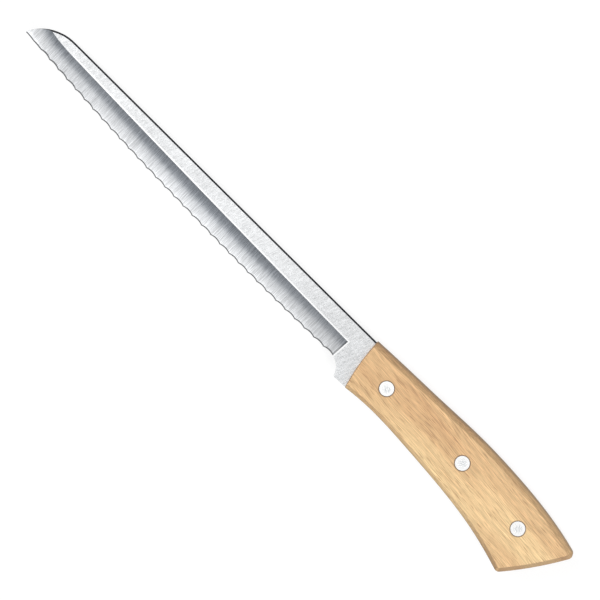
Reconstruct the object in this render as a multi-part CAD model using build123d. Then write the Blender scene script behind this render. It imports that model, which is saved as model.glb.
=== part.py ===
from build123d import *
from math import cos, hypot, radians, sin, sqrt
import os

# Bread knife: a serrated steel blade riveted between two wooden handle scales.
# The knife lies flat on its right side. +Z rises out of its left side, +X points at the tip
# and +Y points the way the cutting edge faces. The origin is the middle of the footprint,
# on the plane of the right scale's flat face.
#
# Outlines are drawn as (station, height): station is the distance back from the tip, height
# is the distance above the blade's axis, towards the spine.

# ---- driving dimensions, in millimetres and degrees ----
OVERALL_LENGTH = 320.0
STEEL_THICKNESS = 1.5
HANDLE_THICKNESS = 13.0

SPINE_HEIGHT = 10.85
SPINE_ROUND = 0.72
SPINE_LINE_LENGTH = 5.0  # every edge along the spine is longer than this
SPINE_DROP_STATION = 20.0  # where the spine starts to fall to the tip
TIP_HEIGHT = -0.6
TIP_ANGLE = 58.0  # how steeply the spine leaves the tip

SERRATION_START = 10.1
SERRATION_COUNT = 32
SERRATION_DEPTH = 0.55
TIP_SCALLOPS = 2  # shallow ones, in the run between the full scallops and the tip
TIP_SCALLOP_DEPTH = 0.12
TIP_CLEARANCE = 0.6  # left unground at the very point
SERRATION_ANGLE = 25.0  # between a scallop's ground facet and the side of the blade

WHEEL_RADIUS = 82.0  # the grinding wheel that hollows each side
EDGE_HALF_THICKNESS = 0.12  # left at the thinnest line of the hollow
PLUNGE_STATION = 189.2  # where the hollow stops short of the heel, at its top corner
PLUNGE_LEAN = 3.6

CHOIL_RADIUS = 7.6  # the concave drop from the cutting edge to the heel
HEEL_STATION = 194.9
HEEL_HEIGHT = -12.4
HEEL_ROUND = 1.2

FRONT_RADIUS = 88.0  # the scales' fronts and the blade's shoulders share one arc
FRONT_CENTRE = (286.05, 13.6)
EDGE_INSET = 2.0  # the sloped long edges of the wood, and round the butt: across the face
EDGE_DROP = 2.7  # and down the side
EDGE_BLEND = 3.2  # where that slope runs into the side
FRONT_ROUND = 0.4  # the crisper edges of the front
BUTT_ROUND = 2.25

RIVET_HEAD_DIAMETER = 6.3
RIVET_HEAD_DEPTH = 1.6
RIVET_SHANK_DIAMETER = 4.2
RIVET_PIN_DIAMETER = 3.0
RIVET_PIN_CHAMFER = 0.3
RIVET_END_GAP = 0.5  # between a shank's end and the bottom of what it goes into
RIVET_SEAT_FLARE = 0.25  # the wood's eased rim round each head
RIVET_CENTRES = {
    "front": (214.7, 0.45),
    "middle": (259.45, 0.6),
    "rear": (295.5, -2.55),
}

# ---- outline points, as (station, height) ----
TIP = (0.0, TIP_HEIGHT)
SPINE_DROP = (SPINE_DROP_STATION, SPINE_HEIGHT)
SPINE_FALL = [(13.0, 10.1), (8.2, 8.1), (3.5, 4.3)]
EDGE = [(188.7, -6.35), (155.0, -7.0), (110.0, -6.5), (60.0, -4.95), (15.7, -2.0)]
HEEL_REAR_HEIGHT = -12.05

GRIND = [(194.0, 2.35), (107.0, 3.9), (20.0, 6.2)]  # the hollow's top line, a shallow arc
GRIND_TIP = (0.0, 9.7)  # where that line would run out past the tip

TANG = [(272.0, 6.8), (304.5, 2.6), (301.0, -9.0), (270.0, -6.2)]
TANG_SHOULDER_TOP = 7.0
TANG_SHOULDER_BOTTOM = -5.4

FRONT_TOP_HEIGHT = 11.3
FRONT_BOTTOM_HEIGHT = -12.05
HANDLE_BACK = [(212.0, 11.8), (236.0, 12.45), (258.0, 13.1), (277.0, 12.5), (298.5, 10.45)]
BUTT_TOP = (321.3, 5.65)
BUTT_MIDDLE = (313.1, -7.9)
BUTT_BOTTOM = (302.0, -22.5)
HANDLE_BELLY = [(292.4, -19.55), (278.5, -16.3), (262.0, -13.95), (237.5, -11.87), (217.0, -10.95)]

HALF_STEEL = STEEL_THICKNESS / 2
HALF_HANDLE = HANDLE_THICKNESS / 2
FAR = 40.0  # comfortably past everything near it, for cutting tools
NEAR = 10.0  # past one scallop, or past the wood's front, but no further
MARGIN = 3.0  # how far a cutting tool overhangs what it cuts
MATCH = 1e-3  # lengths closer than this are the same


def spot(place, z=0.0):
    """A (station, height) place in the model's directions, z above the blade's mid plane."""
    station, height = place
    return Vector(OVERALL_LENGTH / 2 - station, -height, z)


def spots(places):
    return [spot(place) for place in places]


def heading(back, up):
    """A direction given as a step back from the tip and a step towards the spine."""
    return Vector(-back, -up)


def front_place(height):
    """The place at this height on the arc where wood and shoulders meet."""
    reach = sqrt(FRONT_RADIUS**2 - (height - FRONT_CENTRE[1]) ** 2)
    return (FRONT_CENTRE[0] - reach, height)


def front_arc(height_from, height_to):
    heights = (height_from, (height_from + height_to) / 2, height_to)
    return ThreePointArc(*spots([front_place(height) for height in heights]))


# ---- blade ----
def edge_curve():
    """The line through the cusps of the cutting edge, from the heel end to the tip."""
    return Spline(*spots(EDGE), spot(TIP))


def choil_arc(foot_height):
    """The concave arc from the heel's front up to the end of the cutting edge."""
    start = (HEEL_STATION, foot_height)
    end = EDGE[0]
    span = hypot(start[0] - end[0], start[1] - end[1])
    bow = CHOIL_RADIUS - sqrt(CHOIL_RADIUS**2 - (span / 2) ** 2)
    along = ((start[0] - end[0]) / span, (start[1] - end[1]) / span)
    middle = (
        (start[0] + end[0]) / 2 - along[1] * bow,
        (start[1] + end[1]) / 2 + along[0] * bow,
    )
    return ThreePointArc(spot(start), spot(middle), spot(end))


def blank():
    """The stamped plate: blade, heel and tang in one, its spine edges rounded."""
    rise = radians(TIP_ANGLE)
    spine_end = front_place(SPINE_HEIGHT)
    tang_top = front_place(TANG_SHOULDER_TOP)
    tang_bottom = front_place(TANG_SHOULDER_BOTTOM)
    heel_rear = front_place(HEEL_REAR_HEIGHT)
    heel_foot = (HEEL_STATION, HEEL_HEIGHT)
    outline = [
        Spline(
            spot(TIP),
            *spots(reversed(SPINE_FALL)),
            spot(SPINE_DROP),
            tangents=(heading(cos(rise), sin(rise)), heading(1, 0)),
        ),
        Line(spot(SPINE_DROP), spot(spine_end)),
        front_arc(SPINE_HEIGHT, TANG_SHOULDER_TOP),
        Polyline(*spots([tang_top, *TANG, tang_bottom])),
        front_arc(TANG_SHOULDER_BOTTOM, HEEL_REAR_HEIGHT),
        Line(spot(heel_rear), spot(heel_foot)),
        choil_arc(HEEL_HEIGHT),
        edge_curve(),
    ]
    face = make_face(Wire.combine([edge for line in outline for edge in line.edges()])[0].edges())
    foot = face.vertices().sort_by_distance(spot(heel_foot))[0]
    face = fillet(foot, HEEL_ROUND)
    plate = extrude(face, HALF_STEEL, both=True)
    spine = [
        edge
        for edge in plate.edges()
        if abs(edge.center().Z) > HALF_STEEL / 2
        and -edge.center().Y > SPINE_FALL[-1][1]
        and edge.length > SPINE_LINE_LENGTH
        and edge.center().X > spot(spine_end).X
    ]
    return fillet(spine, SPINE_ROUND)


def hollow_tool():
    """What the wheel removes from the left side: its rim swept along the grind line."""
    drop = HALF_STEEL - EDGE_HALF_THICKNESS
    reach = sqrt(WHEEL_RADIUS**2 - (WHEEL_RADIUS - drop) ** 2)  # grind line to thinnest line

    def rim(across):
        depth = sqrt(WHEEL_RADIUS**2 - (across - reach) ** 2)
        return (across, WHEEL_RADIUS - drop - depth)

    start, middle, bend = [spot(place, HALF_STEEL) for place in GRIND]
    main_run = ThreePointArc(start, middle, bend)
    tip_run = Edge.make_tangent_arc(bend, main_run % 1, spot(GRIND_TIP, HALF_STEEL))
    path = Wire([main_run.edge(), tip_run])
    across_start, across_end = -MARGIN, reach + MARGIN
    section_plane = Plane(origin=start, x_dir=Vector(0, 1, 0), z_dir=main_run % 0)
    profile = Wire(
        [
            ThreePointArc(rim(across_start), rim(reach / 2), rim(across_end)).edge(),
            Line(rim(across_end), (across_end, MARGIN)).edge(),
            Line((across_end, MARGIN), (across_start, MARGIN)).edge(),
            Line((across_start, MARGIN), rim(across_start)).edge(),
        ]
    )
    section = section_plane * make_face(profile.edges())
    tool = sweep(section, path=path)
    corner = spot((PLUNGE_STATION, GRIND[0][1]))
    keep_out = Pos(corner.X, corner.Y) * Rot(0, 0, -PLUNGE_LEAN) * Pos(-FAR / 2) * Box(FAR, FAR, FAR)
    return tool - keep_out


def scallop_tools():
    """One tilted round-wheel cut for each scallop, ground from the left side only."""
    curve = edge_curve()
    start = spot(EDGE[0])
    run = (EDGE[0][0] - SERRATION_START) / SERRATION_COUNT
    tilt = radians(SERRATION_ANGLE)
    tools = []
    cusps = [start]
    for number in range(1, SERRATION_COUNT + 1):
        cusps.append(curve.position_at(number * run, position_mode=PositionMode.LENGTH))
    depths = [SERRATION_DEPTH] * SERRATION_COUNT + [TIP_SCALLOP_DEPTH] * TIP_SCALLOPS
    tip_run = (curve.length - TIP_CLEARANCE - SERRATION_COUNT * run) / TIP_SCALLOPS
    for number in range(1, TIP_SCALLOPS + 1):
        along = SERRATION_COUNT * run + number * tip_run
        cusps.append(curve.position_at(along, position_mode=PositionMode.LENGTH))
    for number, depth in enumerate(depths):
        first, second = cusps[number], cusps[number + 1]
        chord = (second - first).normalized()
        pitch = (second - first).length
        outward = Vector(-chord.Y, chord.X)
        radius = pitch**2 / (8 * depth * sin(tilt))
        root = (first + second) * 0.5 - outward * depth - Vector(0, 0, EDGE_HALF_THICKNESS)
        axis = -outward * cos(tilt) + Vector(0, 0, sin(tilt))
        normal = outward * sin(tilt) + Vector(0, 0, cos(tilt))
        centre = root + normal * radius
        wheel = Plane(origin=centre, x_dir=chord, z_dir=axis) * Cylinder(radius, FAR)
        slab = Plane(origin=(first + second) * 0.5, x_dir=chord, z_dir=(0, 0, 1)) * Box(
            pitch, NEAR, NEAR
        )
        tools.append(wheel & slab)
    return tools


def blade():
    left_hollow = hollow_tool()
    ground = blank() - left_hollow - mirror(left_hollow, Plane.XY)
    ground = ground - scallop_tools()
    hole = Cylinder(RIVET_SHANK_DIAMETER / 2, FAR)
    for place in RIVET_CENTRES.values():
        ground = ground - Pos(spot(place)) * hole
    return ground


# ---- handle ----
def handle_face():
    top_front = front_place(FRONT_TOP_HEIGHT)
    bottom_front = front_place(FRONT_BOTTOM_HEIGHT)
    lines = [
        front_arc(FRONT_BOTTOM_HEIGHT, FRONT_TOP_HEIGHT),
        Spline(*spots([top_front, *HANDLE_BACK, BUTT_TOP])),
        ThreePointArc(*spots([BUTT_TOP, BUTT_MIDDLE, BUTT_BOTTOM])),
        Spline(*spots([BUTT_BOTTOM, *HANDLE_BELLY, bottom_front])),
    ]
    face = make_face([line.edge() for line in lines])
    for place in (BUTT_TOP, BUTT_BOTTOM):
        corner = face.vertices().sort_by_distance(spot(place))[0]
        face = fillet(corner, BUTT_ROUND)
    return face


def edge_lies_at(edge, height):
    """Whether both ends and the middle of an edge are this far above the mid plane."""
    return all(abs((edge @ share).Z - height) < MATCH for share in (0, 0.5, 1))


def left_scale():
    """Half of the handle, its inside routed for half of the tang's thickness."""
    scale = extrude(handle_face(), HALF_HANDLE)
    front_middle = spot(front_place(0.0), HALF_HANDLE)
    top = scale.faces().sort_by(Axis.Z)[-1]
    rim = top.outer_wire().edges().sort_by_distance(front_middle)[1:]
    scale = chamfer(rim, EDGE_INSET, EDGE_DROP, reference=top)
    ridge_height = HALF_HANDLE - EDGE_DROP
    ridge = [edge for edge in scale.edges() if edge_lies_at(edge, ridge_height)]
    scale = fillet(ridge, EDGE_BLEND)
    front = scale.faces().sort_by_distance(spot(front_place(0.0), HALF_HANDLE / 2))[0]
    scale = fillet([edge for edge in front.edges() if edge.center().Z > FRONT_ROUND], FRONT_ROUND)
    mouth = [
        (front_place(TANG_SHOULDER_TOP)[0] - NEAR, TANG_SHOULDER_TOP),
        front_place(TANG_SHOULDER_TOP),
        *TANG,
        front_place(TANG_SHOULDER_BOTTOM),
        (front_place(TANG_SHOULDER_BOTTOM)[0] - NEAR, TANG_SHOULDER_BOTTOM),
    ]
    pocket = extrude(make_face(Polyline(*spots(mouth), close=True).edges()), HALF_STEEL)
    scale = scale - pocket
    head_radius = RIVET_HEAD_DIAMETER / 2
    seat_floor = HALF_HANDLE - RIVET_HEAD_DEPTH
    flare = Cone(head_radius, head_radius + RIVET_SEAT_FLARE, RIVET_SEAT_FLARE)
    for place in RIVET_CENTRES.values():
        at = Pos(spot(place))
        scale = scale - at * Cylinder(RIVET_SHANK_DIAMETER / 2, FAR)
        scale = scale - at * Pos(0, 0, seat_floor + FAR / 2) * Cylinder(head_radius, FAR)
        scale = scale - at * Pos(0, 0, HALF_HANDLE - RIVET_SEAT_FLARE / 2) * flare
    return scale


# ---- rivets ----
def rivet_female():
    """Head on the right side and a tubular shank that reaches almost to the other head."""
    seat = RIVET_HEAD_DEPTH - HALF_HANDLE
    top = HALF_HANDLE - RIVET_HEAD_DEPTH - RIVET_END_GAP
    head = Pos(0, 0, seat - RIVET_HEAD_DEPTH / 2) * Cylinder(
        RIVET_HEAD_DIAMETER / 2, RIVET_HEAD_DEPTH
    )
    shank = Pos(0, 0, (seat + top) / 2) * Cylinder(RIVET_SHANK_DIAMETER / 2, top - seat)
    bore = Pos(0, 0, (seat + top) / 2) * Cylinder(RIVET_PIN_DIAMETER / 2, top - seat)
    return head + shank - bore


def rivet_male():
    """Head on the left side and the solid pin that is pressed into the tube."""
    seat = HALF_HANDLE - RIVET_HEAD_DEPTH
    end = RIVET_HEAD_DEPTH - HALF_HANDLE + RIVET_END_GAP
    head = Pos(0, 0, seat + RIVET_HEAD_DEPTH / 2) * Cylinder(
        RIVET_HEAD_DIAMETER / 2, RIVET_HEAD_DEPTH
    )
    pin = Pos(0, 0, (seat + end) / 2) * Cylinder(RIVET_PIN_DIAMETER / 2, seat - end)
    pin = chamfer(pin.edges().sort_by(Axis.Z)[0], RIVET_PIN_CHAMFER)
    return head + pin


# ---- nodes ----
nodes = {"blade": blade(), "left_scale": left_scale()}
nodes["right_scale"] = mirror(nodes["left_scale"], Plane.XY)
for name, place in RIVET_CENTRES.items():
    nodes[f"rivet_{name}_female"] = Pos(spot(place)) * rivet_female()
    nodes[f"rivet_{name}_male"] = Pos(spot(place)) * rivet_male()

# The footprint's middle becomes the origin, and the right scale's face the ground plane.
footprint = Compound(children=list(nodes.values())).bounding_box()
to_origin = Pos(-footprint.center().X, -footprint.center().Y, HALF_HANDLE)

os.makedirs("parts", exist_ok=True)
for name, shape in nodes.items():
    solid = (to_origin * shape).solid()
    export_step(solid, f"parts/{name}.step")
    print(name, "volume", round(solid.volume, 1), "valid", solid.is_valid)
print("overall", footprint.size)
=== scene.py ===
import math

import bpy
from mathutils import Matrix, Vector


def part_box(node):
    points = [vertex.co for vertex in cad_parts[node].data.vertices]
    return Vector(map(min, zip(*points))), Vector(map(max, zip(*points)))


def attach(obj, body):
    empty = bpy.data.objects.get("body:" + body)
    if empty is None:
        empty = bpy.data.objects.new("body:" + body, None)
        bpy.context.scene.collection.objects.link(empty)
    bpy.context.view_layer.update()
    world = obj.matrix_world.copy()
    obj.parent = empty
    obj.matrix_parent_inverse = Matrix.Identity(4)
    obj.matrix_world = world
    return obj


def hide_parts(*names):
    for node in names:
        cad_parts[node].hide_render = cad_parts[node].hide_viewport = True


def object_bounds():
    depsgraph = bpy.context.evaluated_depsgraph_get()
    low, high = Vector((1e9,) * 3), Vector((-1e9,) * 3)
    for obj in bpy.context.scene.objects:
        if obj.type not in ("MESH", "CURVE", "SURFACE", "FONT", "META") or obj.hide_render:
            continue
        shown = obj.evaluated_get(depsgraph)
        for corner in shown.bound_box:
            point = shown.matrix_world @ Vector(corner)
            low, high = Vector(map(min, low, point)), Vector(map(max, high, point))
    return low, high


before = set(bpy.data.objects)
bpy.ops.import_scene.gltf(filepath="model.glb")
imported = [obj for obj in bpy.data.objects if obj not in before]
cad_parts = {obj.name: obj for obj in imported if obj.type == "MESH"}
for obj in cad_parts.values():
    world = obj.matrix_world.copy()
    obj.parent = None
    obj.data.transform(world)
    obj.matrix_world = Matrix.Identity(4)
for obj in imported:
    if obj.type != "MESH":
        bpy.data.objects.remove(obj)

# Lengths are in metres, except where a comment says millimetres.
# +X points at the tip, +Y the way the cutting edge faces, +Z up out of the knife's left side.
CAD_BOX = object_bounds()
LOW, HIGH = CAD_BOX
BLADE_LOW, BLADE_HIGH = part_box("blade")
MM = 0.001

# Two kinds of tuple recur below.
# A band is (from, to) or (from, to, first, last): as a value goes from the one number to the
# other, the result goes from first to last, or from 0 to 1 where those two are left out.
# A density is how many cells of a noise fit in a millimetre along x, y and z.

# ---- camera: above the knife, leaning a little towards the spine ----
VIEW_LEAN = math.radians(6.0)
VIEW_ROLL = math.radians(135.22)
VIEW_WIDTH = 0.2533  # the width that the picture takes in
VIEW_DISTANCE = 3.2
VIEW_FROM_TIP = 0.16243  # the picture's middle
VIEW_FROM_SPINE = 0.01026
VIEW_CLIP = (0.1, 20)
SENSOR_WIDTH = 36  # millimetres

# ---- room: what the steel and the wood see, by the direction that they see it in ----
ROOM_OVERHEAD = 0.08
ROOM_SIDES = 0.44
ROOM_ENDS = 0.90
ROOM_BELOW = 0.42
ROOM_TINT = (0.88, 1.0, 1.14)  # of the part overhead
SIDES_TO_ENDS = (0.25, 0.75, ROOM_SIDES, ROOM_ENDS)  # by x, either way
SIDES_DIMMING = (0.12, 0.50, 1.0, 0.60)  # by z
SIDES_TO_OVERHEAD = (0.45, 0.80)  # by z
SIDES_TO_BELOW = (0.0, -0.3)  # by z

# ---- floor ----
FLOOR_HALF_SIZE = 6.0
FLOOR_GAP = 0.00005
FLOOR_GLOW = 0.80
FLOOR_GREY = 0.20
FLOOR_ROUGHNESS = 0.9

# ---- overhead soft box ----
TOP_HEIGHT = 1.0
TOP_HALF_LENGTH = 0.75
TOP_SPINE_SIDE = -0.14
TOP_EDGE_SIDE = 0.42
TOP_STRENGTH = (-0.06, 0.07, 1.05, 1.80)  # by x, from the handle to the middle of the blade
TOP_TIP_DIMMING = (0.07, 0.17, 1.0, 0.83)  # by x, on to the tip
# from the knife's middle line out to the edge side, as (distance, brightness, blueness)
TOP_FADE = (
    (0.120, 1.00, 0.0),
    (0.145, 0.66, 0.0),
    (0.200, 0.61, 0.1),
    (0.225, 0.49, 0.3),
    (0.250, 0.29, 0.7),
    (0.275, 0.20, 1.0),
    (0.310, 0.15, 1.0),
    (0.340, 0.10, 1.0),
    (0.380, 0.05, 1.0),
)
TOP_BLUE = (0.92, 0.99, 1.09)
TOP_HEEL_SHIFT = (0.045, -0.035, 0.0, 0.060)  # by x, how much further out the fade lies
TOP_TIP_SHIFT = (0.09, 0.20, 0.0, 0.038)

# ---- side lamps, one beyond each end ----
SIDE_DISTANCE = 1.3
SIDE_TILT = math.radians(50)  # from straight overhead
SIDE_SIZE = (0.9, 0.7)
SIDE_WATTS = 13.0

NOISE_RANGE = (0.3, 0.7)  # nearly all of a noise's values lie between these
MIX_FACTOR, MIX_FIRST, MIX_SECOND, MIX_RESULT = 0, 6, 7, 2  # the Mix node's colour sockets


class Graph:
    """Short calls that add nodes to a node tree and link them."""

    def __init__(self, tree):
        self.tree = tree

    def add(self, kind, inputs=(), **settings):
        node = self.tree.nodes.new(kind)
        for name, value in settings.items():
            setattr(node, name, value)
        for key, value in dict(inputs).items():
            self.feed(node.inputs[key], value)
        return node

    def feed(self, socket, value):
        if isinstance(value, bpy.types.NodeSocket):
            self.tree.links.new(value, socket)
        else:
            socket.default_value = value

    def output(self, kind, surface):
        """Ends the tree with an output node of this kind."""
        node = self.add(kind)
        self.feed(node.inputs["Surface"], surface.outputs[0])

    # numbers
    def math(self, operation, first, second=0.0, clamp=False):
        inputs = {0: first, 1: second}
        return self.add("ShaderNodeMath", inputs, operation=operation, use_clamp=clamp).outputs[0]

    def chain(self, operation, first, *others):
        for value in others:
            first = self.math(operation, first, value)
        return first

    def sum(self, *values):
        return self.chain("ADD", *values)

    def product(self, *values):
        return self.chain("MULTIPLY", *values)

    def largest(self, *values):
        return self.chain("MAXIMUM", *values)

    def band(self, value, start, end, first=0.0, last=1.0, easing="LINEAR"):
        inputs = {
            "Value": value,
            "From Min": start,
            "From Max": end,
            "To Min": first,
            "To Max": last,
        }
        node = self.add("ShaderNodeMapRange", inputs, clamp=True, interpolation_type=easing)
        return node.outputs[0]

    def smooth(self, value, start, end, first=0.0, last=1.0):
        return self.band(value, start, end, first, last, easing="SMOOTHSTEP")

    def spread(self, noise, first, last):
        """The noise, stretched so that nearly all of it goes from first to last."""
        return self.band(noise, *NOISE_RANGE, first, last)

    def swing(self, noise, reach):
        return self.spread(noise, -reach, reach)

    # vectors
    def split(self, vector):
        """The vector's outputs X, Y and Z."""
        return self.add("ShaderNodeSeparateXYZ", {"Vector": vector}).outputs

    def vector_math(self, operation, first, second):
        return self.add("ShaderNodeVectorMath", {0: first, 1: second}, operation=operation)

    def scaled(self, vector, factors):
        return self.vector_math("MULTIPLY", vector, factors).outputs["Vector"]

    def shifted(self, vector, offset):
        return self.vector_math("ADD", vector, offset).outputs["Vector"]

    def turned(self, vector, angle):
        inputs = {"Vector": vector, "Angle": angle}
        return self.add("ShaderNodeVectorRotate", inputs, rotation_type="Z_AXIS").outputs[0]

    def distance_from(self, place, x, y):
        """How far a place is from the upright line through (x, y)."""
        level = self.scaled(place, (1, 1, 0))
        return self.vector_math("DISTANCE", level, (x, y, 0)).outputs["Value"]

    def facing(self):
        """The outputs X, Y and Z of the way that the surface faces."""
        return self.split(self.add("ShaderNodeNewGeometry").outputs["Normal"])

    # textures and colours
    def noise(self, place, density, detail=2.0, roughness=0.5):
        inputs = {
            "Vector": self.scaled(place, density),
            "Scale": 1.0,
            "Detail": detail,
            "Roughness": roughness,
        }
        return self.add("ShaderNodeTexNoise", inputs).outputs["Fac"]

    def mix(self, amount, first, second, blend="MIX"):
        inputs = {MIX_FACTOR: amount, MIX_FIRST: first, MIX_SECOND: second}
        node = self.add("ShaderNodeMix", data_type="RGBA", blend_type=blend)
        for key, value in inputs.items():
            self.feed(node.inputs[key], value)
        return node.outputs[MIX_RESULT]

    def tinted(self, first, second):
        return self.mix(1.0, first, second, blend="MULTIPLY")

    def grey(self, value):
        inputs = {"Red": value, "Green": value, "Blue": value}
        return self.add("ShaderNodeCombineColor", inputs).outputs[0]

    def ramp(self, value, stops):
        node = self.add("ShaderNodeValToRGB", {"Fac": value})
        elements = node.color_ramp.elements
        elements.remove(elements[-1])
        elements[0].position, elements[0].color = stops[0]
        for position, colour in stops[1:]:
            elements.new(position).color = colour
        return node.outputs["Color"]

    def bump(self, height, distance):
        return self.add("ShaderNodeBump", {"Height": height, "Distance": distance}).outputs[0]


class Finish(Graph):
    """A new material: its graph, its shader, and a point's place in millimetres."""

    def __init__(self, name, constants=()):
        self.material = bpy.data.materials.new(name)
        self.material.use_nodes = True
        super().__init__(self.material.node_tree)
        self.shader = self.tree.nodes["Principled BSDF"]
        for key, value in dict(constants).items():
            self.shader.inputs[key].default_value = value
        place = self.add("ShaderNodeTexCoord").outputs["Object"]
        self.place = self.scaled(place, (1 / MM, 1 / MM, 1 / MM))

    def close(self, colour, roughness, height=None, depth=0.0):
        """Feeds the shader. The bump that height gives is depth metres high."""
        self.feed(self.shader.inputs["Base Color"], colour)
        self.feed(self.shader.inputs["Roughness"], roughness)
        if height is not None:
            self.feed(self.shader.inputs["Normal"], self.bump(height, depth))
        return self.material


def rgb(red, green, blue):
    return (red, green, blue, 1.0)


def plain(level):
    return rgb(level, level, level)


def emptied_graph(owner):
    owner.use_nodes = True
    owner.node_tree.nodes.clear()
    return Graph(owner.node_tree)


def link_object(name, data):
    piece = bpy.data.objects.new(name, data)
    bpy.context.scene.collection.objects.link(piece)
    return piece


# ---- camera, room and light ----
def make_camera():
    toward = Vector((0, -math.sin(VIEW_LEAN), math.cos(VIEW_LEAN)))
    along = Vector((1, 0, 0))
    across = toward.cross(along)
    right = along * math.cos(VIEW_ROLL) - across * math.sin(VIEW_ROLL)
    up = along * math.sin(VIEW_ROLL) + across * math.cos(VIEW_ROLL)
    middle_height = (LOW.z + HIGH.z) / 2
    target = Vector(
        (BLADE_HIGH.x - VIEW_FROM_TIP, BLADE_LOW.y + VIEW_FROM_SPINE, middle_height)
    )
    data = bpy.data.cameras.new("camera")
    data.sensor_width = SENSOR_WIDTH
    data.lens = data.sensor_width * VIEW_DISTANCE / VIEW_WIDTH
    data.clip_start, data.clip_end = VIEW_CLIP
    camera = link_object("camera", data)
    turn = Matrix((right, up, toward)).transposed()
    camera.matrix_world = Matrix.Translation(target + toward * VIEW_DISTANCE) @ turn.to_4x4()
    bpy.context.scene.camera = camera


def make_room():
    """White to the camera. What the steel and the wood see is darkest overhead."""
    world = bpy.data.worlds.new("room")
    bpy.context.scene.world = world
    graph = emptied_graph(world)
    way = graph.split(graph.add("ShaderNodeTexCoord").outputs["Generated"])
    level = graph.smooth(graph.math("ABSOLUTE", way["X"]), *SIDES_TO_ENDS)
    level = graph.grey(graph.product(level, graph.smooth(way["Z"], *SIDES_DIMMING)))
    overhead = rgb(*(ROOM_OVERHEAD * part for part in ROOM_TINT))
    around = graph.mix(graph.smooth(way["Z"], *SIDES_TO_OVERHEAD), level, overhead)
    around = graph.mix(graph.smooth(way["Z"], *SIDES_TO_BELOW), around, plain(ROOM_BELOW))
    seen = graph.add("ShaderNodeLightPath").outputs["Is Camera Ray"]
    colour = graph.mix(seen, around, plain(1))
    background = graph.add("ShaderNodeBackground", {"Color": colour, "Strength": 1.0})
    graph.output("ShaderNodeOutputWorld", background)


def level_plane(name, corners, height):
    mesh = bpy.data.meshes.new(name)
    mesh.from_pydata([(x, y, height) for x, y in corners], [], [(0, 1, 2, 3)])
    piece = link_object(name, mesh)
    return piece


def make_floor():
    """A pale, softly glowing table top: the shadows on it stay faint."""
    half = FLOOR_HALF_SIZE
    corners = ((-half, -half), (half, -half), (half, half), (-half, half))
    floor = level_plane("floor", corners, LOW.z - FLOOR_GAP)
    constants = {
        "Base Color": plain(FLOOR_GREY),
        "Roughness": FLOOR_ROUGHNESS,
        "Emission Color": plain(1),
        "Emission Strength": FLOOR_GLOW,
    }
    floor.data.materials.append(Finish("floor_white", constants).material)
    floor.visible_diffuse = False
    floor.visible_glossy = False


def make_top_card():
    """The overhead soft box. It is dimmer over the handle, and fades towards its edge side."""
    left, right = -TOP_HALF_LENGTH, TOP_HALF_LENGTH
    near, far = TOP_SPINE_SIDE, TOP_EDGE_SIDE
    corners = ((left, near), (left, far), (right, far), (right, near))
    card = level_plane("top_light", corners, TOP_HEIGHT)
    card.visible_camera = False
    material = bpy.data.materials.new("top_light")
    card.data.materials.append(material)
    graph = emptied_graph(material)
    place = graph.split(graph.add("ShaderNodeTexCoord").outputs["Object"])
    strength = graph.smooth(place["X"], *TOP_STRENGTH)
    strength = graph.product(strength, graph.smooth(place["X"], *TOP_TIP_DIMMING))
    shifts = [graph.smooth(place["X"], *band) for band in (TOP_HEEL_SHIFT, TOP_TIP_SHIFT)]
    out = graph.math("SUBTRACT", place["Y"], graph.sum(*shifts))
    first, last = TOP_FADE[0][0], TOP_FADE[-1][0]
    stops = []
    for distance, share, blueness in TOP_FADE:
        tint = [share * (1 + blueness * (part - 1)) for part in TOP_BLUE]
        stops.append(((distance - first) / (last - first), rgb(*tint)))
    colour = graph.ramp(graph.band(out, first, last), stops)
    light = graph.add("ShaderNodeEmission", {"Color": colour, "Strength": strength})
    graph.output("ShaderNodeOutputMaterial", light)


def side_light(name, sign):
    data = bpy.data.lights.new(name, "AREA")
    data.shape = "RECTANGLE"
    data.size, data.size_y = SIDE_SIZE
    data.energy = SIDE_WATTS
    direction = Vector((math.sin(SIDE_TILT) * sign, 0, math.cos(SIDE_TILT)))
    lamp = link_object(name, data)
    lamp.rotation_mode = "QUATERNION"
    lamp.rotation_quaternion = direction.to_track_quat("Z", "Y")
    lamp.location = direction * SIDE_DISTANCE


# ---- steel: lengths in millimetres from here on ----
# the line where the hollow stops: its upper corner, and how it leans
PLUNGE_FROM_TIP = 189.2
PLUNGE_FROM_SPINE = 8.5
PLUNGE_LEAN = math.radians(3.6)
# the hollow's upper line: a slight curve that nears the spine towards the tip
GRIND_MIDDLE_FROM_TIP = 107.0
GRIND_MIDDLE_FROM_SPINE = 6.95
GRIND_HALF_LENGTH = 87.0
GRIND_RISE = 1.925
GRIND_BOW = 0.375

SATIN_SHADE = 0.74
SATIN_LAY = math.radians(20)  # the finish runs a little askew across the flats
SATIN_HAIR = (2.2, 0.30, 0.5)
SATIN_HAIR_SWING = 0.12
SATIN_GRAIN = (2.3, 1.7, 1.7)
SATIN_GRAIN_SWING = 0.18
SATIN_CLOUD = (0.06, 0.06, 0.06)
SATIN_CLOUD_SWING = 0.04
SATIN_TINT = rgb(0.99, 1.0, 1.01)
SATIN_ROUGHNESS = (0.24, 0.32)
SATIN_HAIR_HEIGHT = 0.6  # beside the grain's
SATIN_DEPTH = 0.000006  # metres
# a painted highlight: a light line just outside the hollow's outline
PAINTED_HIGHLIGHT_LINE = (0.85, 0.45)  # by the distance from the hollow's outline
PAINTED_HIGHLIGHT_LEVEL = 0.97
PAINTED_HIGHLIGHT_FROM_TIP = (19.0, 26.0)  # where the line starts

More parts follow.
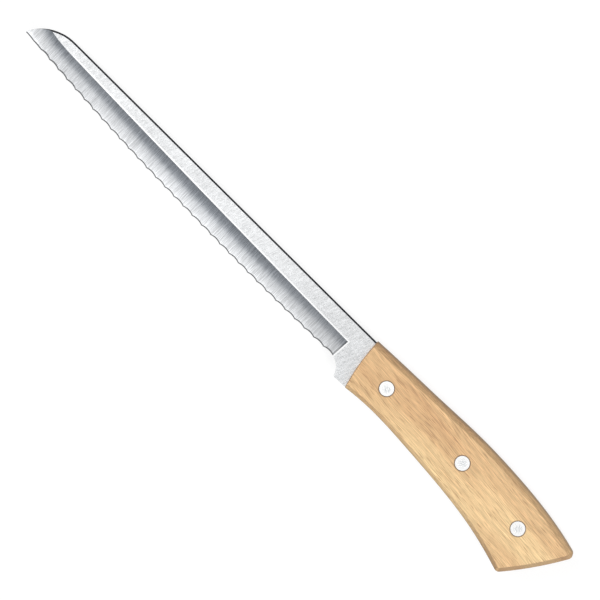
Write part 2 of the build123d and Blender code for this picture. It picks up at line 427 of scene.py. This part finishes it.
GROUND_SHADE = 0.74
GROUND_FINE = (2.6, 0.15, 0.1)
GROUND_FINE_SWING = 0.19
GROUND_BROAD = (0.25, 0.05, 0.05)
GROUND_BROAD_SWING = 0.02
# painted shade in the hollow: a dark line under its upper line, and darker at the plunge line
GROUND_TOP_LINE_SHADE = (0.114, 0.123, 1.0, 0.55)  # by y of the way it faces: most at the upper line
GROUND_PLUNGE_LINE_SHADE = (0.2, 0.9, 0.5, 1.0)  # by the distance from the plunge line
GROUND_TINT = rgb(0.985, 1.0, 1.02)
GROUND_ROUGHNESS = (0.09, 0.14)
GROUND_DEPTH = 0.000003  # metres

RIM_SCUFF = (1.8, 0.5, 0.5)
# the rims' near-black colours are a painted dark reflection
RIM_PAINTED_REFLECTION_DEEP = rgb(0.045, 0.047, 0.055)
RIM_PAINTED_REFLECTION_PALE = rgb(0.10, 0.104, 0.115)
RIM_ROUGHNESS = (0.28, 0.42)
RIM_DEPTH = 0.00001  # metres

FACET_MARK = (4.0, 0.6, 0.6)
FACET_DARK = rgb(0.62, 0.63, 0.65)
FACET_LIGHT = rgb(0.86, 0.87, 0.88)
FACET_ROUGHNESS = (0.18, 0.30)


def from_plunge(graph, place):
    """How far towards the tip a point is from the line where the hollow stops."""
    along = graph.math("SUBTRACT", place["X"], BLADE_HIGH.x / MM - PLUNGE_FROM_TIP)
    across = graph.math("SUBTRACT", place["Y"], BLADE_LOW.y / MM + PLUNGE_FROM_SPINE)
    along = graph.product(along, math.cos(PLUNGE_LEAN))
    across = graph.product(across, math.sin(PLUNGE_LEAN))
    return graph.math("SUBTRACT", along, across)


def above_grind(graph, place):
    """How far towards the spine a point is from the hollow's upper line."""
    share = graph.math("SUBTRACT", place["X"], BLADE_HIGH.x / MM - GRIND_MIDDLE_FROM_TIP)
    share = graph.math("DIVIDE", share, GRIND_HALF_LENGTH)
    bow = graph.product(share, share, GRIND_BOW)
    rise = graph.sum(graph.product(share, GRIND_RISE), bow)
    line = graph.math("SUBTRACT", BLADE_LOW.y / MM + GRIND_MIDDLE_FROM_SPINE, rise)
    return graph.math("SUBTRACT", line, place["Y"])


def satin_steel():
    """The flats: a fine, slightly mottled satin, with a painted highlight line round the hollow.
    """
    finish = Finish("satin_steel", {"Metallic": 1.0})
    lay = finish.turned(finish.place, SATIN_LAY)
    hair = finish.noise(lay, SATIN_HAIR, detail=3.0, roughness=0.7)
    grain = finish.noise(finish.place, SATIN_GRAIN, roughness=0.7)
    cloud = finish.noise(finish.place, SATIN_CLOUD)
    shade = finish.sum(
        finish.swing(grain, SATIN_GRAIN_SWING),
        finish.swing(hair, SATIN_HAIR_SWING),
        finish.swing(cloud, SATIN_CLOUD_SWING),
        SATIN_SHADE,
    )
    place = finish.split(finish.place)
    past_plunge = finish.product(from_plunge(finish, place), -1.0)
    outside = finish.largest(above_grind(finish, place), past_plunge)
    line_ends = [BLADE_HIGH.x / MM - distance for distance in PAINTED_HIGHLIGHT_FROM_TIP]
    # the painted highlight line round the hollow, from near the tip on
    painted_highlight = finish.product(
        finish.smooth(outside, *PAINTED_HIGHLIGHT_LINE), finish.smooth(place["X"], *line_ends)
    )
    colour = finish.tinted(finish.grey(shade), SATIN_TINT)
    colour = finish.mix(painted_highlight, colour, plain(PAINTED_HIGHLIGHT_LEVEL))
    roughness = finish.spread(grain, *SATIN_ROUGHNESS)
    height = finish.sum(finish.product(hair, SATIN_HAIR_HEIGHT), grain)
    return finish.close(colour, roughness, height, SATIN_DEPTH)


def ground_steel():
    """The hollow: streaks left across it by the grinding wheel, and painted shade under its upper
    line and along the plunge line.
    """
    finish = Finish("ground_steel", {"Metallic": 1.0})
    fine = finish.noise(finish.place, GROUND_FINE, detail=3.0, roughness=0.7)
    broad = finish.noise(finish.place, GROUND_BROAD, detail=1.0)
    shade = finish.sum(
        finish.swing(fine, GROUND_FINE_SWING),
        finish.swing(broad, GROUND_BROAD_SWING),
        GROUND_SHADE,
    )
    plunge = from_plunge(finish, finish.split(finish.place))
    # painted shade under the hollow's upper line and along the plunge line
    shade = finish.product(
        shade,
        finish.smooth(finish.facing()["Y"], *GROUND_TOP_LINE_SHADE),
        finish.smooth(plunge, *GROUND_PLUNGE_LINE_SHADE),
    )
    colour = finish.tinted(finish.grey(shade), GROUND_TINT)
    return finish.close(colour, finish.spread(fine, *GROUND_ROUGHNESS), fine, GROUND_DEPTH)


def dark_reflection_rim_steel():
    """The spine, heel and other narrow sides: painted near black as a dark reflection, and scuffed
    crosswise.
    """
    finish = Finish("dark_reflection_rim_steel", {"Metallic": 1.0})
    scuff = finish.noise(finish.place, RIM_SCUFF, detail=3.0, roughness=0.7)
    colour = finish.mix(scuff, RIM_PAINTED_REFLECTION_DEEP, RIM_PAINTED_REFLECTION_PALE)
    return finish.close(colour, finish.spread(scuff, *RIM_ROUGHNESS), scuff, RIM_DEPTH)


def edge_steel():
    """The narrow facets that sharpen each scallop."""
    finish = Finish("edge_steel", {"Metallic": 1.0})
    mark = finish.noise(finish.place, FACET_MARK, roughness=0.6)
    colour = finish.mix(mark, FACET_DARK, FACET_LIGHT)
    return finish.close(colour, finish.spread(mark, *FACET_ROUGHNESS))


# ---- blade ----
FLAT, HOLLOW, RIM, FACET = range(4)
FLAT_UPRIGHT = 0.9999  # the least z, either way, of the way that such a surface faces
HOLLOW_UPRIGHT = 0.98
FACET_UPRIGHT = 0.8
WELD_DIGITS = 7  # corners that agree to this many decimals of a metre are one


def patches(mesh):
    """The mesh's separate patches, one for each face of the solid, as lists of polygon numbers."""
    parent = list(range(len(mesh.vertices)))

    def root(vertex):
        while parent[vertex] != vertex:
            parent[vertex] = parent[parent[vertex]]
            vertex = parent[vertex]
        return vertex

    for polygon in mesh.polygons:
        first = root(polygon.vertices[0])
        for vertex in polygon.vertices[1:]:
            parent[root(vertex)] = first
    found = {}
    for polygon in mesh.polygons:
        found.setdefault(root(polygon.vertices[0]), []).append(polygon.index)
    return list(found.values())


def zone_of(normal):
    """Which finish a patch of the blade has, from the way it faces."""
    upright = abs(normal.z)
    if upright > FLAT_UPRIGHT:
        return FLAT
    if upright > HOLLOW_UPRIGHT:
        return HOLLOW
    if upright > FACET_UPRIGHT and normal.y > 0:
        return FACET
    return RIM


def blade_zones(mesh):
    """The finish of each polygon, by its number."""
    zones = {}
    for patch in patches(mesh):
        polygons = [mesh.polygons[i] for i in patch]
        area = sum(polygon.area for polygon in polygons)
        normal = sum((polygon.normal * polygon.area for polygon in polygons), Vector()) / area
        for i in patch:
            zones[i] = zone_of(normal)
    return zones


def blade_piece():
    """The blade as one welded mesh, with a finish for each zone."""
    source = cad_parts["blade"].data
    zones = blade_zones(source)
    places, faces, normals, marks = {}, [], [], []
    corner_normals = source.corner_normals
    for polygon in source.polygons:
        corners = []
        for vertex in polygon.vertices:
            key = tuple(round(c, WELD_DIGITS) for c in source.vertices[vertex].co)
            corners.append(places.setdefault(key, len(places)))
        if len(set(corners)) < 3:  # a sliver that the weld closes
            continue
        faces.append(corners)
        normals += [corner_normals[loop].vector.copy() for loop in polygon.loop_indices]
        marks.append(zones[polygon.index])
    mesh = bpy.data.meshes.new("steel_blade")
    mesh.from_pydata(list(places), [], faces)
    mesh.polygons.foreach_set("material_index", marks)
    mesh.polygons.foreach_set("use_smooth", [True] * len(faces))
    for material in (satin_steel(), ground_steel(), dark_reflection_rim_steel(), edge_steel()):
        mesh.materials.append(material)
    mesh.normals_split_custom_set(normals)
    mesh.validate()
    piece = link_object("steel_blade", mesh)
    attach(piece, "root")
    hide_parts("blade")


# ---- wood: each density's x runs along the grain ----
WOOD_WANDER = (0.02, 0.08, 0.08)  # the grain's slow bends
WOOD_BEND = 1.2
WOOD_BROAD = (0.014, 0.17, 0.17)  # the slow drift between the light and the dark colour
WOOD_BROAD_RANGE = (0.22, 0.78)
WOOD_LIGHT = rgb(0.765, 0.545, 0.285)
WOOD_DARK = rgb(0.595, 0.358, 0.178)
WOOD_TO_SPINE = (6.0, -10.0, -0.32, 0.26)  # by y: how much darker the drift is
WOOD_TO_FRONT = (-130.0, -45.0, -0.18, 0.20)  # by x
WOOD_BELLY = (5.0, 11.0)  # by y: where the darker rear of the belly is
WOOD_BELLY_REAR = (-112.0, -132.0, 0.0, 0.55)  # by x
WOOD_STREAK = (0.035, 1.1, 1.1)
WOOD_STREAK_SHADE = (0.32, 0.68, 0.85, 1.11)
WOOD_FIBRE = (0.11, 4.0, 4.0)
WOOD_FIBRE_SHADE = (0.68, 1.24)
WOOD_PORE = (0.15, 2.6, 2.6)
WOOD_PORE_BAND = (0.60, 0.70)
WOOD_PORE_AMOUNT = 0.55
WOOD_VEIN = (0.09, 1.9, 1.9)
WOOD_VEIN_BAND = (0.63, 0.72)
WOOD_PATCH = (0.03, 0.22, 0.22)  # where the veins are
WOOD_PATCH_BAND = (0.42, 0.62, 0.0, 0.6)
WOOD_PORE_COLOUR = rgb(0.30, 0.155, 0.07)
# the ends: end grain darker in itself, and painted shade
WOOD_END_GRAIN = (0.15, 0.7, 0.0, 0.55)  # by x of the way it faces, either way
# painted shade along the front rim, where the wood meets the blade
WOOD_FRONT_RIM_SHADE = (0.10, 0.35, 0.0, 0.72)  # by x of the way it faces
WOOD_FRONT_FACE_SHADE = (0.80, 0.97, 1.0, 0.6)
# painted shade on the spine-side slope
WOOD_SPINE_SLOPE_SHADE = (-0.3, -0.7, 0.0, 0.14)  # by y of the way it faces
WOOD_END_GRAIN_AND_SHADE_COLOUR = rgb(0.26, 0.15, 0.08)
WOOD_RIVET_RING = (3.3, 3.8, 0.8, 0.0)  # by the distance from a rivet's middle
WOOD_RING_COLOUR = rgb(0.10, 0.06, 0.04)
WOOD_ROUGHNESS = (0.42, 0.55)
WOOD_FIBRE_HEIGHT = 0.4  # beside the pores' depth
WOOD_DEPTH = 0.00004  # metres

# each scale's shift through the wood's noise, and its grain's turn
LEFT_GRAIN = (0, 0, 0), math.radians(4.6)
RIGHT_GRAIN = (211, 57, 31), math.radians(2.5)


def rivet_centres():
    """Where each rivet is, by its place: front, middle or rear."""
    found = {}
    for name in sorted(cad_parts):
        if name.startswith("rivet") and name.endswith("_male"):
            low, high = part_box(name)
            found[name.split("_")[1]] = ((low.x + high.x) / 2 / MM, (low.y + high.y) / 2 / MM)
    return found


def wood_warmth(finish, grain):
    """How far the wood is from its light colour to its dark one."""
    place = finish.split(finish.place)
    belly_rear = finish.product(
        finish.smooth(place["Y"], *WOOD_BELLY), finish.smooth(place["X"], *WOOD_BELLY_REAR)
    )
    drift = finish.sum(
        finish.smooth(place["Y"], *WOOD_TO_SPINE),
        finish.smooth(place["X"], *WOOD_TO_FRONT),
        belly_rear,
    )
    broad = finish.noise(grain, WOOD_BROAD)
    return finish.math("ADD", finish.spread(broad, *WOOD_BROAD_RANGE), drift, clamp=True)


def wood_end_grain_and_shade(finish):
    """How much darker the wood is: at its ends, end grain darker in itself and painted shade; at
    its front rim and its spine-side slope, painted shade.
    """
    facing = finish.facing()
    end_grain = finish.smooth(finish.math("ABSOLUTE", facing["X"]), *WOOD_END_GRAIN)
    # painted shade along the front rim
    front_rim_shade = finish.product(
        finish.smooth(facing["X"], *WOOD_FRONT_RIM_SHADE), finish.smooth(facing["X"], *WOOD_FRONT_FACE_SHADE)
    )
    return finish.largest(end_grain, front_rim_shade, finish.smooth(facing["Y"], *WOOD_SPINE_SLOPE_SHADE))


def handle_wood(name, offset, angle):
    """Pale hardwood: a slow colour drift, fine streaks and short dark pores along the grain."""
    finish = Finish(name)
    grain = finish.turned(finish.shifted(finish.place, offset), angle)
    wander = finish.noise(grain, WOOD_WANDER, detail=1.0)
    bend = finish.add("ShaderNodeCombineXYZ", {"Y": finish.swing(wander, WOOD_BEND)})
    grain = finish.shifted(grain, bend.outputs[0])
    streak = finish.noise(grain, WOOD_STREAK, detail=4.0, roughness=0.7)
    fibre = finish.noise(grain, WOOD_FIBRE, roughness=0.7)
    pore = finish.noise(grain, WOOD_PORE, detail=1.0)
    vein = finish.noise(grain, WOOD_VEIN, detail=1.0, roughness=0.4)
    patch = finish.noise(grain, WOOD_PATCH, detail=1.0)

    colour = finish.mix(wood_warmth(finish, grain), WOOD_LIGHT, WOOD_DARK)
    colour = finish.tinted(colour, finish.grey(finish.band(streak, *WOOD_STREAK_SHADE)))
    colour = finish.tinted(colour, finish.grey(finish.spread(fibre, *WOOD_FIBRE_SHADE)))
    pores = finish.product(finish.smooth(pore, *WOOD_PORE_BAND), WOOD_PORE_AMOUNT)
    veins = finish.product(
        finish.smooth(vein, *WOOD_VEIN_BAND), finish.smooth(patch, *WOOD_PATCH_BAND)
    )
    hollowed = finish.largest(pores, veins)
    colour = finish.mix(hollowed, colour, WOOD_PORE_COLOUR)
    # darker end grain, and painted shade on the ends, the front rim and the spine-side slope
    colour = finish.mix(wood_end_grain_and_shade(finish), colour, WOOD_END_GRAIN_AND_SHADE_COLOUR)
    for x, y in rivet_centres().values():
        ring = finish.smooth(finish.distance_from(finish.place, x, y), *WOOD_RIVET_RING)
        colour = finish.mix(ring, colour, WOOD_RING_COLOUR)
    roughness = finish.spread(streak, *WOOD_ROUGHNESS)
    height = finish.math("SUBTRACT", finish.product(fibre, WOOD_FIBRE_HEIGHT), hollowed)
    return finish.close(colour, roughness, height, WOOD_DEPTH)


# ---- rivets ----
RIVET_SCRATCH = (0.35, 3.2, 1.0)
RIVET_SCRATCH_BAND = (0.42, 0.60)
RIVET_SCRATCH_AMOUNT = 0.75
RIVET_FINE = (0.8, 9.0, 1.0)
RIVET_FINE_SHADE = (0.95, 1.02)
RIVET_WORN = (2.6, 0.6)  # by the distance from the middle
RIVET_LIGHT = rgb(0.97, 0.97, 0.965)
RIVET_DARK = rgb(0.50, 0.54, 0.57)
RIVET_ROUGHNESS = (0.15, 0.22)
RIVET_DEPTH = 0.00001  # metres
# each rivet's scratches: their direction, and their shift through the noise
RIVET_SCRATCHES = {
    "front": (math.radians(35), 3.0),
    "middle": (math.radians(-28), 17.0),
    "rear": (math.radians(62), 29.0),
}


def rivet_metal(name, centre, angle, shift):
    """Aluminium polished flat with the wood: short parallel scratches, most near the middle."""
    finish = Finish(name, {"Metallic": 1.0})
    lay = finish.turned(finish.shifted(finish.place, (shift, 2 * shift, 0)), angle)
    scratch = finish.noise(lay, RIVET_SCRATCH, roughness=0.6)
    fine = finish.noise(lay, RIVET_FINE, roughness=0.6)
    worn = finish.smooth(finish.distance_from(finish.place, *centre), *RIVET_WORN)
    marks = finish.product(
        finish.smooth(scratch, *RIVET_SCRATCH_BAND), worn, RIVET_SCRATCH_AMOUNT
    )
    colour = finish.mix(marks, RIVET_LIGHT, RIVET_DARK)
    colour = finish.tinted(colour, finish.grey(finish.spread(fine, *RIVET_FINE_SHADE)))
    return finish.close(colour, finish.spread(fine, *RIVET_ROUGHNESS), scratch, RIVET_DEPTH)


def finish_node(name, material):
    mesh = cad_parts[name].data
    mesh.materials.clear()
    mesh.materials.append(material)


make_camera()
make_room()
make_floor()
make_top_card()
side_light("tip_side_light", 1)
side_light("handle_side_light", -1)
bpy.context.scene.view_settings.view_transform = "Standard"

blade_piece()
finish_node("left_scale", handle_wood("left_wood", *LEFT_GRAIN))
finish_node("right_scale", handle_wood("right_wood", *RIGHT_GRAIN))
for place, centre in rivet_centres().items():
    metal = rivet_metal(f"{place}_rivet", centre, *RIVET_SCRATCHES[place])
    for half in ("male", "female"):
        finish_node(f"rivet_{place}_{half}", metal)
